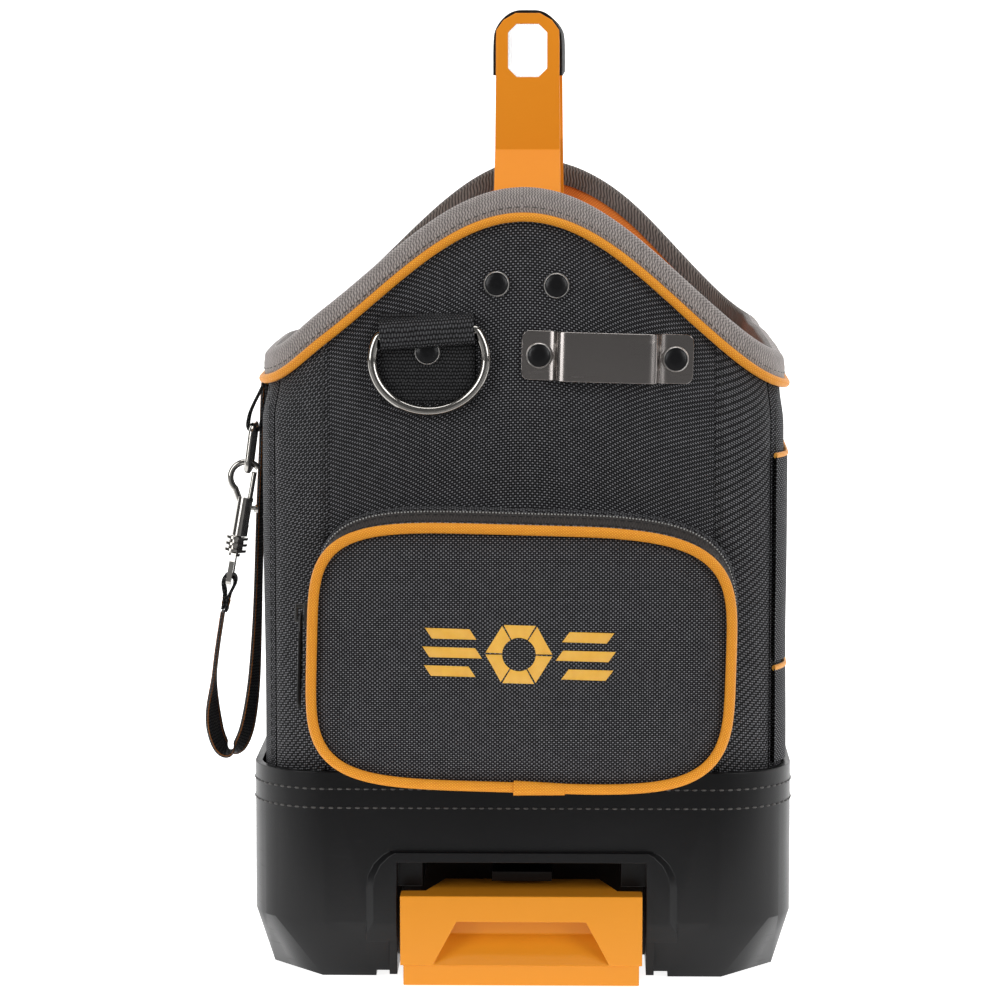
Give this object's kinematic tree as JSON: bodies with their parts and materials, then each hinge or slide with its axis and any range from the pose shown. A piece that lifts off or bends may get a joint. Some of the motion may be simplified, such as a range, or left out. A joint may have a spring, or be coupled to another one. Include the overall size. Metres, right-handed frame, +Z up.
{
  "type": "tool bucket organizer",
  "caption": "Open-top tool organizer bag on a moulded latching base, with a rigid carry handle, zipped end pocket, slip pockets, D-ring, tape clip and a snap-hook tape strap.",
  "frame": {"origin": "on the floor, under the middle of the moulded base", "axes": "+Z up, +X to the right when the zipped pocket faces the viewer, -Y out of the zipped pocket's end"},
  "size_m": [0.3007, 0.4298, 0.482],
  "materials": {
    "tub_plastic": "fine moulded texture, satin sheen, recessed stitch rows",
    "latch_orange": "satin moulded",
    "handle_orange": "satin to semi-gloss moulded",
    "grip_rubber": "matte overmould",
    "ballistic_fabric": "coarse plain weave nylon",
    "corner_fabric": "coarse plain weave nylon over stiff padding",
    "lining_fabric": "light woven lining",
    "binding_webbing": "ribbed grey binding webbing",
    "orange_piping": "corded piping",
    "orange_trim": "narrow bound tape",
    "black_webbing": "ribbed webbing",
    "strap_tape": "flat webbing",
    "zipper": "zipper tape with moulded teeth",
    "emblem_thread": "satin stitch embroidery",
    "floor_fabric": "board wrapped in lining cloth",
    "nickel": "polished nickel plate",
    "clip_steel": "worn nickel plated spring steel",
    "black_rivet": "gloss black lacquer with bright edge",
    "zinc_steel": "zinc plated",
    "black_metal": "black enamel"
  },
  "bodies": {
    "bag": {"base_tub": "tub_plastic", "base_bottom_cover": "tub_plastic", "base_cover_screws": "zinc_steel", "latch_springs": "zinc_steel", "floor_board": "floor_fabric", "front_end_panel": "ballistic_fabric", "rear_end_panel": "ballistic_fabric", "corner_panels": "corner_fabric", "left_side_panel": "ballistic_fabric", "right_side_panel": "ballistic_fabric", "inner_lining": "lining_fabric", "rim_binding": "binding_webbing", "rim_piping": "orange_piping", "left_inner_pockets": "lining_fabric", "right_inner_pockets": "lining_fabric", "right_upper_pockets": "ballistic_fabric", "right_lower_pockets": "ballistic_fabric", "left_upper_pockets": "ballistic_fabric", "left_lower_pockets": "ballistic_fabric", "side_pocket_trims": "orange_trim", "rear_pocket": "ballistic_fabric", "rear_pocket_trim": "orange_trim", "pocket_gusset": "corner_fabric", "pocket_zipper_tape": "zipper", "pocket_face": "ballistic_fabric", "pocket_piping": "orange_piping", "pocket_emblem": "emblem_thread", "zipper_slider": "black_metal", "d_ring_webbing": "black_webbing", "d_ring_rivet": "black_rivet", "tape_clip": "clip_steel", "tape_clip_rivets": "black_rivet", "handle_frame": "handle_orange", "handle_grip": "grip_rubber", "handle_rivets": "black_rivet", "handle_backing_plates": "zinc_steel", "strap_anchor_loop": "black_webbing", "tape_strap": "strap_tape"},
    "latch": {"latch_block": "latch_orange", "latch_guide_screws": "zinc_steel", "latch_washers": "zinc_steel"},
    "d_ring": {"d_ring": "nickel"},
    "zip_pull": {"zipper_pull": "black_webbing"},
    "strap_ring": {"strap_ring": "nickel"},
    "snap_hook": {"snap_hook_body": "nickel", "snap_hook_spring": "zinc_steel"},
    "snap_bolt": {"snap_hook_bolt": "nickel"},
    "swivel_eye": {"snap_hook_eye": "nickel", "strap_end_loop": "black_webbing"}
  },
  "joints": [
    {"name": "latch_slide", "type": "slide", "parent": "bag", "child": "latch", "axis": [0, -1, 0], "range_m": [0, 0.01], "stiffness_N_per_m": 800, "springref_m": -0.01, "deforming": ["latch_springs"]},
    {"name": "d_ring_swing", "type": "hinge", "parent": "bag", "child": "d_ring", "pos_m": [-0.0465, -0.1989, 0.3242], "axis": [-0.9976, 0, -0.0698], "range_deg": [0, 150]},
    {"name": "zipper_pull_swing", "type": "hinge", "parent": "bag", "child": "zip_pull", "pos_m": [-0.10831, -0.212, 0.18729], "axis": [0, 1, 0], "range_deg": [0, 160]},
    {"name": "strap_ring_swing", "type": "hinge", "parent": "bag", "child": "strap_ring", "pos_m": [-0.1384, -0.115, 0.271], "axis": [0, 1, 0], "range_deg": [0, 25]},
    {"name": "snap_hook_swing", "type": "hinge", "parent": "strap_ring", "child": "snap_hook", "pos_m": [-0.14144, -0.115, 0.2482], "axis": [0, 1, 0], "range_deg": [-36, 0]},
    {"name": "snap_bolt_slide", "type": "slide", "parent": "snap_hook", "child": "snap_bolt", "axis": [-0.1736, 0, -0.9848], "range_m": [0, 0.006], "stiffness_N_per_m": 150, "springref_m": -0.006, "deforming": ["snap_hook_spring"]},
    {"name": "swivel_turn", "type": "hinge", "parent": "snap_hook", "child": "swivel_eye", "pos_m": [-0.15158, -0.115, 0.19069], "axis": [0.1736, 0, 0.9848], "range_deg": [-30, 30]}
  ],
  "couplings": [
    {"joint": "snap_hook_swing", "follows": "strap_ring_swing", "ratio": -1.394}
  ]
}
